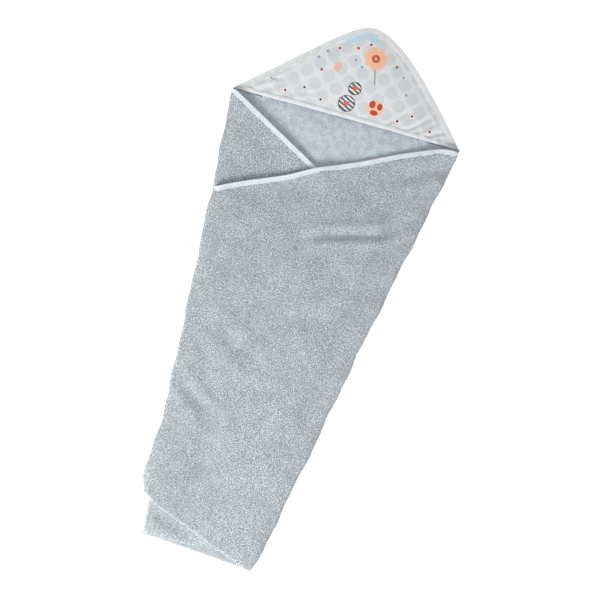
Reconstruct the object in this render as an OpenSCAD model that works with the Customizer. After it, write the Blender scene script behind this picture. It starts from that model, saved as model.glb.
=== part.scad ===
// Hooded baby towel, folded flat as a tapering wrap with its hood on top.
// The towel is one square of terry laid as a diamond. Its bottom corner is turned up, its left side is
// folded over to the right, and its right side is folded over that. +Y runs to the tip of the hood, +X to
// the right and +Z up, and the middle of the floor under the towel is the origin. Every layer of the one
// cloth is a solid of its own, because each part of the fold moves in its own way.

/* [Terry cloth] */
// Side of the square towel
towel_side = 900; // [885:1:915]
// Radius of the towel's rounded corners
corner_r = 80; // [60:1:95]
// Thickness of one layer of terry
terry_t = 2; // [1.8:0.05:2.1]
// Height from one folded layer to the next
layer_pitch = 2.5; // [2.4:0.05:2.7]

/* [Hood] */
// Length of the hood's front edge
hood_w = 400; // [392:1:408]
// Height of the hood from its front edge to its rounded tip
hood_rise = 161; // [154:1:165]
// Thickness of the printed hood panel
face_t = 1.2; // [0.8:0.1:1.3]
// How far the middle of the hood's front edge stands up, which opens the pocket
mouth_lift = 12; // [9:0.5:16]

/* [Folded shape] */
// Distance from the hood's front edge to the right end of the bottom fold
wrap_len = 784; // [770:1:795]
// Sideways place of the right end of the bottom fold
bottom_right_x = 45; // [38:1:52]
// Sideways place of the left end of the bottom fold
bottom_left_x = -143; // [-150:1:-138]
// How much higher the left end of the bottom fold lies
bottom_tilt = 13; // [6:1:18]
// Slope of the inner flap's top edge, in degrees down to the right
inner_slope = 28; // [26:0.5:31]
// Slope of the outer flap's top edge, in degrees down to the left
outer_slope = 24; // [23:0.5:25]
// Length of the outer flap's top edge, up to where its corner is turned under
outer_shown = 424; // [418:1:428]
// Distance from the right fold at which the inner flap's corner is turned back
turn_back = 63; // [60:1:70]

/* [Binding] */
// Finished width of the binding on the towel's edge
binding_w = 10; // [8:0.5:11]
// Depth of the binding on the hood's front edge
front_binding_w = 6; // [5:0.5:8]
// Thickness of the binding's cloth
tape_t = 0.5; // [0.4:0.05:0.6]
// Width of a row of stitching
thread_w = 0.6; // [0.5:0.1:0.8]
// How far the stitching stands up
thread_h = 0.2; // [0.15:0.05:0.2]

/* [Hidden] */

terry_grey = [0.68, 0.72, 0.74];
print_white = [0.85, 0.86, 0.87];
tape_white = [0.91, 0.92, 0.93];

arc_steps = 12;
reach = 1500;
// Distance from a row of stitching to the inner edge of its binding
stitch_in = 1.5;
// How far the flaps and folds end short of the hood, so that it can swing up
flap_clear = 5;
fold_clear = 8;
// Hairline between a rounded fold and its flap, and under the hood's front stitching
hair = 0.05;
// How far the printed panel stops short of the inside of its edge binding
face_clear = 0.3;

// Bottom of each folded layer, counted up from the floor
back_z = 0;
turnup_z = layer_pitch;
inner_return_z = 2 * layer_pitch;
inner_turnup_z = 3 * layer_pitch;
inner_z = 4 * layer_pitch;
outer_return_z = 5 * layer_pitch;
outer_turnup_z = 6 * layer_pitch;
outer_z = 7 * layer_pitch;

// Outer radius of the rounded fold between a lower and an upper layer
function fold_r(low_z, high_z) = (high_z + terry_t - low_z) / 2;
left_r = fold_r(back_z, inner_z);
right_r = fold_r(back_z, outer_z);
bottom_r = fold_r(back_z, turnup_z);
return_r = fold_r(inner_return_z, inner_z);
hem_r = fold_r(inner_turnup_z, inner_z);

// Plane geometry
function unit(v) = v / norm(v);
function turned(v, a) = [v.x * cos(a) - v.y * sin(a), v.x * sin(a) + v.y * cos(a)];
function left_of(v) = [-v.y, v.x];
function mirrored_over(p, a, b) =
    let (u = unit(b - a), d = p - a) a + 2 * (d * u) * u - d;
function crossing(a, b, c, d) =
    let (u = b - a, v = d - c) a + u * cross(c - a, v) / cross(u, v);
// Points of the arc of radius r that rounds the corner p between a and b
function rounded(a, p, b, r) =
    let (
        u = unit(a - p), v = unit(b - p),
        half = acos(u * v) / 2,
        centre = p + unit(u + v) * r / sin(half),
        start = p + u * r / tan(half) - centre,
        side = sign(cross(u, v)),
        sweep = 180 - 2 * half
    )
    [for (i = [0:arc_steps]) centre + turned(start, -side * sweep * i / arc_steps)];

// Corners of the folded towel
// The hood's front edge stands just clear of the line on which the hood swings
hood_gap = 0.5;
total_len = wrap_len + hood_gap + hood_rise;
bottom_y = -total_len / 2;
hinge_y = bottom_y + wrap_len;
hood_l = [-hood_w / 2, hinge_y];
hood_r = [hood_w / 2, hinge_y];
bottom_r_end = [bottom_right_x, bottom_y];
bottom_l_end = [bottom_left_x, bottom_y + bottom_tilt];

// Corners of the towel before it is folded
diamond_half = towel_side / sqrt(2);
top_corner_y = hinge_y + hood_w / 2;
edge_len = towel_side - hood_w / sqrt(2);
flat_left = [-diamond_half, top_corner_y - diamond_half];
flat_right = [diamond_half, top_corner_y - diamond_half];
flat_bottom = [0, top_corner_y - 2 * diamond_half];

// The turned-up bottom corner, and where its edges cross the two side folds
turnup_tip = mirrored_over(flat_bottom, bottom_l_end, bottom_r_end);
turnup_l = crossing(flat_left, flat_bottom, bottom_l_end, bottom_r_end);
turnup_r = crossing(flat_right, flat_bottom, bottom_l_end, bottom_r_end);
turnup_cross_l = crossing(turnup_l, turnup_tip, hood_l, bottom_l_end);
turnup_cross_r = crossing(turnup_r, turnup_tip, hood_r, bottom_r_end);

// The inner flap: its top edge, the line where its corner turns back and its lower edge
inner_dir = turned([1, 0], -inner_slope);
inner_corner = hood_l + inner_dir * edge_len;
right_in = unit(left_of(unit(hood_r - bottom_r_end)));
inner_turn_top = crossing(
    hood_l, inner_corner, hood_r + right_in * turn_back, bottom_r_end + right_in * turn_back);
inner_turn_low = bottom_r_end + [-0.6 * turn_back, bottom_tilt + 7];
inner_tip = mirrored_over(inner_corner, inner_turn_top, inner_turn_low);

// The outer flap: its top edge, its turned-under left side and its lower edge
outer_dir = turned([-1, 0], outer_slope);
outer_corner = hood_r + outer_dir * edge_len;
outer_low = mirrored_over(turnup_r, hood_r, bottom_r_end);
outer_top = hood_r + outer_dir * outer_shown;
outer_tip = mirrored_over(outer_corner, outer_top, outer_low);

hood_base_y = hinge_y + hood_gap;
// Bottom of the printed panel where it is sewn down, over the towel's corner
rim_z = terry_t + tape_t + 0.1;
edge_top = rim_z + face_t + hair + tape_t;

// Each leg of the hood is one curve from the front edge to the level tip
leg_angle = [40, 48];
leg_pull = [150, 80];
tip_pull = [36, 54];
tip_x = 6;
function curve(a, b, c, d, s) =
    a * pow(1 - s, 3) + 3 * b * s * pow(1 - s, 2) + 3 * c * s * s * (1 - s) + d * pow(s, 3);
// side is 0 for the left leg and 1 for the right; inset moves the curve in, and base moves its foot up
function leg_point(side, s, inset, base) =
    let (
        out = 2 * side - 1,
        angle = leg_angle[side],
        foot = [out * (hood_w / 2 - inset / sin(angle) - base / tan(angle)), base],
        top = [tip_x, hood_rise - inset]
    )
    curve(
        foot,
        foot + leg_pull[side] * [-out * cos(angle), sin(angle)],
        top + [out * tip_pull[side], 0],
        top,
        s);

// A layer of cloth
module layer(z, t = terry_t) {
    color(terry_grey)
    translate([0, 0, z])
    linear_extrude(t)
    children();
}

// Everything to the left of the line from a to b, less a strip along it
module beside(a, b, inset = 0) {
    translate(a)
    rotate(atan2(b.y - a.y, b.x - a.x))
    translate([-reach, inset])
    square([2 * reach, reach]);
}

// The strip of a given width just to the left of the line from a to b
module strip(a, b, width) {
    translate(a)
    rotate(atan2(b.y - a.y, b.x - a.x))
    square([norm(b - a), width]);
}

// Inside a corner of bound cloth with its edges a-p and p-b moved in by an inset
module bound_corner(a, p, b, r, inset = 0) {
    na = left_of(unit(p - a)) * inset;
    nb = left_of(unit(b - p)) * inset;
    corner = crossing(a + na, p + na, p + nb, b + nb);
    polygon(concat([a + na], rounded(a + na, corner, b + nb, r - inset), [b + nb]));
}

// Half a tube round the outside of a fold; the outside is to the left of a-b
module fold_tube(a, b, low_z, radius, t = terry_t) {
    color(terry_grey)
    translate([a.x, a.y, low_z + radius])
    rotate([0, 0, atan2(b.y - a.y, b.x - a.x)])
    rotate([0, 90, 0])
    rotate_extrude(angle = 180, $fn = 48)
    translate([radius - t, 0])
    square([t, norm(b - a)]);
}

// Binding on a straight edge: a tape folded round the edge of the cloth
module tape(a, b, z, t = terry_t) {
    color(tape_white)
    translate([0, 0, z])
    difference() {
        linear_extrude(t)
        strip(a, b, binding_w);
        translate([0, 0, tape_t])
        linear_extrude(t - 2 * tape_t)
        difference() {
            strip(a, b, binding_w + 1);
            strip(a, b, tape_t);
        }
    }
}

// A row of stitching along a straight binding
module stitch_row(a, b, z) {
    color(tape_white)
    translate([0, 0, z])
    linear_extrude(thread_h)
    intersection() {
        beside(a, b, binding_w - stitch_in - thread_w);
        strip(a, b, binding_w - stitch_in);
        children();
    }
}

// Binding round a corner of the cloth
module corner_tape(a, p, b, z) {
    color(tape_white)
    translate([0, 0, z])
    difference() {
        linear_extrude(terry_t)
        difference() {
            bound_corner(a, p, b, corner_r);
            bound_corner(a, p, b, corner_r, binding_w);
        }
        translate([0, 0, tape_t])
        linear_extrude(terry_t - 2 * tape_t)
        bound_corner(a, p, b, corner_r, tape_t);
    }
}

// Room left for the side folds: everything between the two fold axes
module between_folds() {
    intersection() {
        beside(hood_l, bottom_l_end, left_r);
        beside(bottom_r_end, hood_r, right_r);
    }
}

// The single layer that lies on the floor
module back_panel() {
    layer(back_z)
    intersection() {
        between_folds();
        beside(hood_r, hood_l);
        beside(bottom_l_end, bottom_r_end, bottom_r);
    }
}

module turnup_shape(inset) {
    intersection() {
        bound_corner(turnup_r, turnup_tip, turnup_l, corner_r, inset);
        between_folds();
        beside(bottom_l_end, bottom_r_end, bottom_r);
    }
}

// The bottom corner of the square, turned up over the back
module bottom_turnup() {
    layer(turnup_z)
    turnup_shape(binding_w);
    layer(turnup_z + tape_t, terry_t - 2 * tape_t)
    turnup_shape(tape_t);
    along = unit(bottom_l_end - bottom_r_end);
    up = -left_of(along) * bottom_r;
    intersection() {
        fold_tube(bottom_r_end + up, bottom_l_end + up, back_z, bottom_r);
        linear_extrude(2 * bottom_r)
        between_folds();
    }
}

module turnup_binding() {
    intersection() {
        corner_tape(turnup_r, turnup_tip, turnup_l, turnup_z);
        linear_extrude(reach)
        intersection() {
            between_folds();
            beside(bottom_l_end, bottom_r_end, bottom_r);
        }
    }
}

leg_steps = 24;
// The hood's outline, moved in by the same distance along both legs and the tip
module hood_outline(inset) {
    translate([0, hood_base_y])
    polygon(concat(
        [for (i = [0:leg_steps]) leg_point(1, i / leg_steps, inset, 0)],
        [for (i = [leg_steps - 1:-1:0]) leg_point(0, i / leg_steps, inset, 0)]
    ));
}

// The towel's top corner, which is the back of the hood
module hood_corner() {
    layer(back_z)
    hood_outline(binding_w);
    layer(back_z + tape_t, terry_t - 2 * tape_t)
    hood_outline(tape_t);
}

// The panel's height above its rim; u runs from leg to leg and s from the front edge to the tip.
// It is flat under the edge binding, and from flat_s up to the tip.
flat_s = 0.74;
function rim_u(half_w) = max(0.1, 1 - 1.6 * binding_w / half_w);
function puff(u, s, half_w) =
    s >= flat_s ? 0
    : mouth_lift * max(0, 1 - pow(u / rim_u(half_w), 2)) * (1 - pow(s / flat_s, 2));

function hood_point(u, s, z, base) =
    let (
        left = leg_point(0, s, tape_t + face_clear, base),
        right = leg_point(1, s, tape_t + face_clear, base),
        p = left * (1 - u) / 2 + right * (1 + u) / 2
    )
    [p.x, p.y + hood_base_y, z + puff(u, s, (right.x - left.x) / 2)];

face_rows = 18;
face_cols = 30;
// The level rim is the first and the last column, and the rest are even
function face_point(i, s, z) =
    let (
        half_w = (leg_point(1, s, tape_t + face_clear, 0).x
            - leg_point(0, s, tape_t + face_clear, 0).x) / 2,
        u = i == 0 ? -1 : i == face_cols ? 1
            : rim_u(half_w) * (2 * (i - 1) / (face_cols - 2) - 1)
    )
    hood_point(u, s, z, tape_t);

// The printed panel, sewn down along both legs and open along its front edge
module hood_face() {
    side = face_cols + 1;
    count = side * (face_rows + 1);
    top_s = 0.97;
    function grid(z) = [
        for (j = [0:face_rows]) for (i = [0:face_cols])
        face_point(i, top_s * j / face_rows, z)
    ];
    cells = [for (j = [0:face_rows - 1]) for (i = [0:face_cols - 1]) j * side + i];
    rim = concat(
        [for (i = [0:face_cols - 1]) i],
        [for (j = [0:face_rows - 1]) j * side + face_cols],
        [for (i = [face_cols:-1:1]) face_rows * side + i],
        [for (j = [face_rows:-1:1]) j * side]
    );
    last = len(rim);
    color(print_white)
    polyhedron(
        points = concat(grid(rim_z + face_t), grid(rim_z)),
        faces = concat(
            [for (c = cells) [c, c + side, c + 1]],
            [for (c = cells) [c + 1, c + side, c + side + 1]],
            [for (c = cells) [count + c, count + c + 1, count + c + side]],
            [for (c = cells) [count + c + 1, count + c + side + 1, count + c + side]],
            [for (k = [0:last - 1]) [rim[k], rim[(k + 1) % last], count + rim[k]]],
            [for (k = [0:last - 1])
                [rim[(k + 1) % last], count + rim[(k + 1) % last], count + rim[k]]]
        )
    );
}

// A section swept along the hood's raised front edge, between the two edge bindings.
// The section's points are [distance back from the edge, height above the panel's underside].
sweep_steps = 40;
front_reach = 0.86;
module front_sweep(section) {
    n = len(section);
    points = [
        for (i = [0:sweep_steps]) for (p = section)
        hood_point(front_reach * (2 * i / sweep_steps - 1), 0, rim_z + p.y, p.x)
    ];
    polyhedron(
        points = points,
        faces = concat(
            [[for (k = [0:n - 1]) k]],
            [[for (k = [n - 1:-1:0]) sweep_steps * n + k]],
            [for (i = [0:sweep_steps - 1]) for (k = [0:n - 1])
                [i * n + k, (i + 1) * n + k, i * n + (k + 1) % n]],
            [for (i = [0:sweep_steps - 1]) for (k = [0:n - 1])
                [(i + 1) * n + k, (i + 1) * n + (k + 1) % n, i * n + (k + 1) % n]]
        )
    );
}

// White binding folded round the panel's front edge
slot_gap = 0.08;
module hood_front_binding() {
    low = -slot_gap - tape_t;
    high = face_t + slot_gap + tape_t;
    color(tape_white)
    front_sweep([
        [0, low], [front_binding_w, low], [front_binding_w, -slot_gap], [tape_t - 0.1, -slot_gap],
        [tape_t - 0.1, face_t + slot_gap], [front_binding_w, face_t + slot_gap],
        [front_binding_w, high], [0, high]
    ]);
}

module hood_front_stitching() {
    low = face_t + slot_gap + tape_t + hair;
    back = front_binding_w - stitch_in;
    color(tape_white)
    front_sweep([
        [back - thread_w, low], [back, low],
        [back, low + thread_h], [back - thread_w, low + thread_h]
    ]);
}

// Binding round the hood's two legs and tip, over the towel's corner and the edge of the panel
module hood_edge_binding() {
    color(tape_white)
    difference() {
        linear_extrude(edge_top)
        difference() {
            hood_outline(0);
            hood_outline(binding_w);
        }
        translate([0, 0, tape_t])
        linear_extrude(edge_top - 2 * tape_t)
        hood_outline(tape_t);
    }
}

module hood_edge_stitching() {
    color(tape_white)
    translate([0, 0, edge_top])
    linear_extrude(thread_h)
    difference() {
        hood_outline(binding_w - stitch_in - thread_w);
        hood_outline(binding_w - stitch_in);
    }
}

// Everything short of the hood by enough to let it swing up
module below_hood() {
    beside(hood_r - [0, flap_clear], hood_l - [0, flap_clear]);
}

module inner_flap_area() {
    intersection() {
        beside(hood_l, bottom_l_end, left_r + hair);
        beside(bottom_l_end, inner_turn_low, hem_r);
        beside(inner_turn_low, inner_turn_top, return_r);
        below_hood();
    }
}

// The left side of the towel, folded over to the right
module inner_flap() {
    layer(inner_z)
    intersection() {
        inner_flap_area();
        beside(inner_turn_top, hood_l, binding_w);
    }
    layer(inner_z + tape_t, terry_t - 2 * tape_t)
    intersection() {
        inner_flap_area();
        beside(inner_turn_top, hood_l, tape_t);
    }
}

module inner_flap_binding() {
    intersection() {
        tape(inner_turn_top, hood_l, inner_z);
        linear_extrude(reach)
        inner_flap_area();
    }
}

module inner_flap_stitching() {
    stitch_row(inner_turn_top, hood_l, inner_z + terry_t)
    inner_flap_area();
}

inner_share_end = mirrored_over(turnup_l, hood_l, bottom_l_end);
module inner_turnup_area() {
    intersection() {
        beside(hood_l, bottom_l_end, left_r + hair);
        beside(bottom_l_end, inner_turn_low, hem_r);
        beside(inner_turn_low, inner_turn_top, 2 * return_r);
    }
}

// The part of the turned-up corner that went over with the left side
module inner_flap_turnup() {
    layer(inner_turnup_z)
    intersection() {
        inner_turnup_area();
        beside(inner_share_end, turnup_cross_l, binding_w);
    }
    layer(inner_turnup_z + tape_t, terry_t - 2 * tape_t)
    intersection() {
        inner_turnup_area();
        beside(inner_share_end, turnup_cross_l, tape_t);
    }
    along = unit(bottom_l_end - inner_turn_low);
    up = -left_of(along) * hem_r;
    intersection() {
        fold_tube(inner_turn_low + up, bottom_l_end + up, inner_turnup_z, hem_r);
        linear_extrude(reach)
        intersection() {
            beside(hood_l, bottom_l_end, left_r + hair);
            beside(inner_turn_low, inner_turn_top, 2 * return_r);
        }
    }
}

module inner_turnup_binding() {
    intersection() {
        tape(inner_share_end, turnup_cross_l, inner_turnup_z);
        linear_extrude(reach)
        inner_turnup_area();
    }
}

module inner_return_area() {
    intersection() {
        beside(inner_turn_low, inner_turn_top, return_r);
        beside(hood_l, bottom_l_end, left_r + hair);
    }
}

// The inner flap's corner, turned back under the flap
module inner_flap_return() {
    layer(inner_return_z)
    intersection() {
        inner_return_area();
        bound_corner(inner_turn_top, inner_tip, inner_turn_low, corner_r, binding_w);
    }
    layer(inner_return_z + tape_t, terry_t - 2 * tape_t)
    intersection() {
        inner_return_area();
        bound_corner(inner_turn_top, inner_tip, inner_turn_low, corner_r, tape_t);
    }
    across = left_of(unit(inner_turn_top - inner_turn_low)) * return_r;
    low = inner_turn_low + across;
    top = inner_turn_top + across;
    slack = unit(top - low) * binding_w;
    fold_tube(top - slack, low + slack, inner_return_z, return_r);
}

module inner_return_binding() {
    intersection() {
        corner_tape(inner_turn_top, inner_tip, inner_turn_low, inner_return_z);
        linear_extrude(reach)
        inner_return_area();
    }
}

// The rounded fold down the left side
module left_fold() {
    inward = -left_of(unit(hood_l - bottom_l_end)) * left_r;
    low = bottom_l_end + inward;
    high = hood_l + inward;
    turn_end = turnup_cross_l + inward;
    gap = unit(high - low) * fold_clear;
    fold_tube(low, high - gap, back_z, left_r);
    fold_tube(low + gap, turn_end - gap, turnup_z, fold_r(turnup_z, inner_turnup_z));
}

module outer_flap_area(side_inset, hem_inset) {
    intersection() {
        beside(bottom_r_end, hood_r, right_r + hair);
        beside(outer_top, outer_low, side_inset);
        beside(outer_low, bottom_r_end, hem_inset);
        below_hood();
    }
}

// The right side of the towel, folded over the rest
module outer_flap() {
    layer(outer_z)
    intersection() {
        outer_flap_area(return_r, hem_r);
        beside(hood_r, outer_top, binding_w);
    }
    layer(outer_z + tape_t, terry_t - 2 * tape_t)
    intersection() {
        outer_flap_area(return_r, hem_r);
        beside(hood_r, outer_top, tape_t);
    }
}

module outer_flap_binding() {
    intersection() {
        tape(hood_r, outer_top, outer_z);
        linear_extrude(reach)
        outer_flap_area(return_r, hem_r);
    }
}

module outer_flap_stitching() {
    stitch_row(hood_r, outer_top, outer_z + terry_t)
    outer_flap_area(return_r, hem_r);
}

// The part of the turned-up corner that went over with the right side
module outer_flap_turnup() {
    layer(outer_turnup_z)
    intersection() {
        outer_flap_area(2 * return_r, hem_r);
        beside(turnup_cross_r, outer_low, binding_w);
    }
    layer(outer_turnup_z + tape_t, terry_t - 2 * tape_t)
    intersection() {
        outer_flap_area(2 * return_r, hem_r);
        beside(turnup_cross_r, outer_low, tape_t);
    }
    along = unit(outer_low - bottom_r_end);
    up = -left_of(along) * hem_r;
    intersection() {
        fold_tube(bottom_r_end + up, outer_low + up, outer_turnup_z, hem_r);
        linear_extrude(reach)
        outer_flap_area(2 * return_r, 0);
    }
}

module outer_turnup_binding() {
    intersection() {
        tape(turnup_cross_r, outer_low, outer_turnup_z);
        linear_extrude(reach)
        outer_flap_area(2 * return_r, hem_r);
    }
}

// The outer flap's corner, turned under at the left
module outer_flap_return() {
    layer(outer_return_z)
    intersection() {
        beside(outer_top, outer_low, return_r);
        bound_corner(outer_low, outer_tip, outer_top, corner_r, binding_w);
    }
    layer(outer_return_z + tape_t, terry_t - 2 * tape_t)
    intersection() {
        beside(outer_top, outer_low, return_r);
        bound_corner(outer_low, outer_tip, outer_top, corner_r, tape_t);
    }
    across = left_of(unit(outer_low - outer_top)) * return_r;
    slack = unit(outer_low - outer_top) * binding_w;
    fold_tube(outer_low + across - slack, outer_top + across + slack, outer_return_z, return_r);
}

module outer_return_binding() {
    intersection() {
        corner_tape(outer_low, outer_tip, outer_top, outer_return_z);
        linear_extrude(reach)
        beside(outer_top, outer_low, return_r);
    }
}

// The rounded fold down the right side
module right_fold() {
    inward = -left_of(unit(bottom_r_end - hood_r)) * right_r;
    high = hood_r + inward;
    low = bottom_r_end + inward;
    turn_end = turnup_cross_r + inward;
    gap = unit(low - high) * fold_clear;
    fold_tube(high + gap, low, back_z, right_r);
    fold_tube(turn_end + gap, low - gap, turnup_z, fold_r(turnup_z, outer_turnup_z));
}

back_panel();
bottom_turnup();
turnup_binding();
hood_corner();
hood_face();
hood_front_binding();
hood_edge_binding();
hood_front_stitching();
hood_edge_stitching();
inner_flap();
inner_flap_binding();
inner_flap_stitching();
inner_flap_turnup();
inner_turnup_binding();
inner_flap_return();
inner_return_binding();
left_fold();
outer_flap();
outer_flap_binding();
outer_flap_stitching();
outer_flap_turnup();
outer_turnup_binding();
outer_flap_return();
outer_return_binding();
right_fold();
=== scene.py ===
"""A hooded baby towel, folded into a tapering wrap and lying flat, seen from above."""

import functools
import math

import bpy
import numpy as np
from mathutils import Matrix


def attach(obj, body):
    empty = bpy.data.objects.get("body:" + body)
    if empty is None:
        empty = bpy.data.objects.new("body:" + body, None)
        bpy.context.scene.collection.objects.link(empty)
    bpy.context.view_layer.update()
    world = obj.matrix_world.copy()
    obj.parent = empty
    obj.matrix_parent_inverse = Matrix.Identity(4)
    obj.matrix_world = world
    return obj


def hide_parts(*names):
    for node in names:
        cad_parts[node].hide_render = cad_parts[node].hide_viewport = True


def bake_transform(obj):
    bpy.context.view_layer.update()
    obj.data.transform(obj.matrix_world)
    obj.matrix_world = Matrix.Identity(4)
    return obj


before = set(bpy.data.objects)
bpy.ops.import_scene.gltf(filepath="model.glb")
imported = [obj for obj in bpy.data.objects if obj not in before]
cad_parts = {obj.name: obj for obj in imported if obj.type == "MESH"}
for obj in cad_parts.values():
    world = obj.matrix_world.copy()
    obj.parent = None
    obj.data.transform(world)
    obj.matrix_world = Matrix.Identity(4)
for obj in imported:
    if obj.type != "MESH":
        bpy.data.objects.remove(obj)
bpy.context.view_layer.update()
MM = 0.001
PILE_SEED = 7
rng = np.random.default_rng(PILE_SEED)


# ---------------------------------------------------------------- the towel's own measures
def mm(*values):
    """Millimetres to metres."""
    return np.array(values, float) * MM


# Corners of the folded towel, and the lines it folds on
HOOD_LEFT, HOOD_RIGHT = mm(-200, 311.25), mm(200, 311.25)
FOOT_LEFT, FOOT_RIGHT = mm(-143, -459.75), mm(45, -472.75)
HINGE_Y = 311.25 * MM
TURNUP_TIP, TURNUP_LEFT, TURNUP_RIGHT = mm(41, -180), mm(-151, -324), mm(90, -246)
INNER_TOP, INNER_LOW, INNER_TIP = mm(104, 150), mm(7.2, -452.75), mm(-167, 122)
INNER_SHARE = mm(24, -422)
OUTER_TOP, OUTER_LOW, OUTER_TIP = mm(-187.3, 138.8), mm(-171, -401), mm(0.6, 91)
CORNER_R = 80 * MM

# The terry and the layers it makes
CLOTH = 2.4 * MM
LAYER_PITCH = 2.7 * MM
BACK_MID = CLOTH / 2 + 0.1 * MM
LEFT_ROLL, RIGHT_ROLL = 6 * MM, 8 * MM
TURN_ROLL, HEM_ROLL = 5 * MM, 2.5 * MM
# How far the terry stops short of a bound edge, inside its tape
TAPE_IN = 5 * MM

# The hood
HOOD_FOOT_Y = 311.75 * MM
HOOD_RISE = 161 * MM
HOOD_HALF = 0.2
HOOD_TIP_X = 6 * MM
MOUTH_LIFT = 12 * MM
PANEL_Z, PANEL_THICK, RIM_Z = 3.3 * MM, 1.0 * MM, 2.35 * MM
# For the left and the right leg: its angle at the front edge, and how far it runs straight at its foot and its tip
LEG_ANGLE, LEG_FOOT, LEG_TIP = (40, 48), (150, 80), (36, 54)

# The tapes' widths, and how far in from the edge their stitches run, in millimetres
TAPE_W, FRONT_TAPE_W = 8.2, 7.4
SEAM_IN, FRONT_SEAM_IN = 6.9, 6.2
STITCH_PITCH = 3.1


def unit(v):
    return v / np.linalg.norm(v)


def left_of(v):
    return np.array([-v[1], v[0]])


def away_from(a, b, point):
    """The direction square to the line from a to b, on the side where the point isn't."""
    out = left_of(unit(b - a))
    return -out if out @ (point - a) > 0 else out


def to_middle(foot, hood):
    """The direction from a side fold towards the towel's middle."""
    return -away_from(foot, hood, np.zeros(2))


def smooth(x, low, high):
    """0 below low, 1 above high, and an easy slope between them."""
    t = np.clip((x - low) / (high - low), 0, 1)
    return t * t * (3 - 2 * t)


def ease(low, high, count):
    return low + (high - low) * np.linspace(0, 1, count)


def rounded(a, p, b, r, steps=14):
    """The arc of radius r that rounds the corner p between a and b."""
    u, v = unit(a - p), unit(b - p)
    half = math.acos(float(u @ v)) / 2
    centre = p + unit(u + v) * r / math.sin(half)
    start = p + u * r / math.tan(half) - centre
    turn = -np.sign(u[0] * v[1] - u[1] * v[0]) * (math.pi - 2 * half)
    out = []
    for k in range(steps + 1):
        c, s = math.cos(turn * k / steps), math.sin(turn * k / steps)
        out.append(centre + np.array([start[0] * c - start[1] * s, start[0] * s + start[1] * c]))
    return out


# ---------------------------------------------------------------- where the edges really run
# The outer flap's top edge bows up towards the hood, and steps down past the inner flap's edge
OUTER_EDGE_X = mm(-187, -130, -68, -28, 43, 105, 168, 199)
OUTER_EDGE_Y = mm(139, 166.5, 193, 216, 247, 278, 304, 308)
OUTER_SIDE_Y = mm(-401, -360, -310, -267, -225, -100, 45, 139)
OUTER_SIDE_X = mm(-170, -169.5, -165.5, -164, -165, -172, -181, -187.3)
EDGE_BLUR = (-9, -4, 0, 4, 9)


def outer_edge_y(x):
    near = [np.interp(x + d * MM, OUTER_EDGE_X, OUTER_EDGE_Y) for d in EDGE_BLUR]
    return np.minimum(sum(near) / len(near), OUTER_EDGE_Y[-1])


def outer_side_x(y):
    """The outer flap's turned-under side, drawn in a little along its lower half."""
    return np.interp(y, OUTER_SIDE_Y, OUTER_SIDE_X)


RIGHT_FOLD_LEAN = 0.1977


def settle(x, y):
    """Small shifts in the plane that every layer shares: a bow in the right fold, and a waver along both."""
    fold = HOOD_HALF - RIGHT_FOLD_LEAN * (HINGE_Y - y)
    bow = np.interp(y, mm(-475, -350, -250, -60), mm(8, 5, 4.5, 0))
    waver = (0.7 * np.sin(y / (9 * MM)) + 1.0 * np.sin(y / (21 * MM) + 1)) * MM * (1 - smooth(y, 0.25, 0.29))
    return x + (bow + waver) * smooth(x, fold - 110 * MM, fold) + waver * smooth(-x, 0.08, 0.18), y


# ---------------------------------------------------------------- heights of the stacked layers
CELL = 3 * MM
CELL_X = np.arange(-0.27, 0.2701, CELL)
CELL_Y = np.arange(-0.53, 0.5301, CELL)
PLAN_X, PLAN_Y = np.meshgrid(CELL_X, CELL_Y, indexing="ij")


def ripple(x, y, size, seed):
    """Soft unevenness from 0 to 1, with waves of about the given size."""
    waves = 7
    draw = np.random.default_rng(seed)
    total = np.zeros_like(x, dtype=float)
    for _ in range(waves):
        turn, phase = draw.uniform(0, math.pi), draw.uniform(0, 2 * math.pi)
        wave = size * draw.uniform(0.7, 1.5)
        total += np.sin((x * math.cos(turn) + y * math.sin(turn)) * 2 * math.pi / wave + phase)
    return np.clip(0.5 + total / waves, 0, 1)


def within(outline, x, y):
    """Whether a place is inside a convex outline."""
    sides = np.stack([(q[0] - p[0]) * (y - p[1]) - (q[1] - p[1]) * (x - p[0])
                      for p, q in zip(outline, np.roll(np.array(outline), -1, 0))])
    return np.all(sides >= 0, 0) | np.all(sides <= 0, 0)


def shifted(field, combine):
    """Each cell of a height map combined with its two neighbours, first along X and then along Y."""
    out = field
    for axis in (0, 1):
        pad = np.pad(out, [(1, 1) if a == axis else (0, 0) for a in (0, 1)], mode="edge")
        first, mid, last = (np.take(pad, np.arange(k, k + out.shape[axis]), axis) for k in range(3))
        out = combine(first, mid, last)
    return out


def bridged(top, reach=3, soft=9):
    """The height at which a thick cloth lies over a stack, bridging its steps."""
    for _ in range(reach):
        top = shifted(top, lambda a, b, c: np.maximum(np.maximum(a, b), c))
    for _ in range(soft):
        top = shifted(top, lambda a, b, c: (a + b + c) / 3)
    return top


def height_at(field, x, y):
    """A height map read at any place."""
    i = np.clip((x - CELL_X[0]) / CELL, 0, len(CELL_X) - 1.001)
    j = np.clip((y - CELL_Y[0]) / CELL, 0, len(CELL_Y) - 1.001)
    i0, j0 = i.astype(int), j.astype(int)
    fi, fj = i - i0, j - j0
    low = field[i0, j0] * (1 - fj) + field[i0, j0 + 1] * fj
    high = field[i0 + 1, j0] * (1 - fj) + field[i0 + 1, j0 + 1] * fj
    return low * (1 - fi) + high * fi


def off_line(a, b, x, y):
    """Distance from the line through a and b."""
    u = unit(b - a)
    return np.abs(u[0] * (y - a[1]) - u[1] * (x - a[0]))


def off_segment(a, b, x, y):
    """Distance from the part of that line between a and b."""
    d = b - a
    t = np.clip(((x - a[0]) * d[0] + (y - a[1]) * d[1]) / (d @ d), 0, 1)
    return np.hypot(x - a[0] - t * d[0], y - a[1] - t * d[1])


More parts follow.
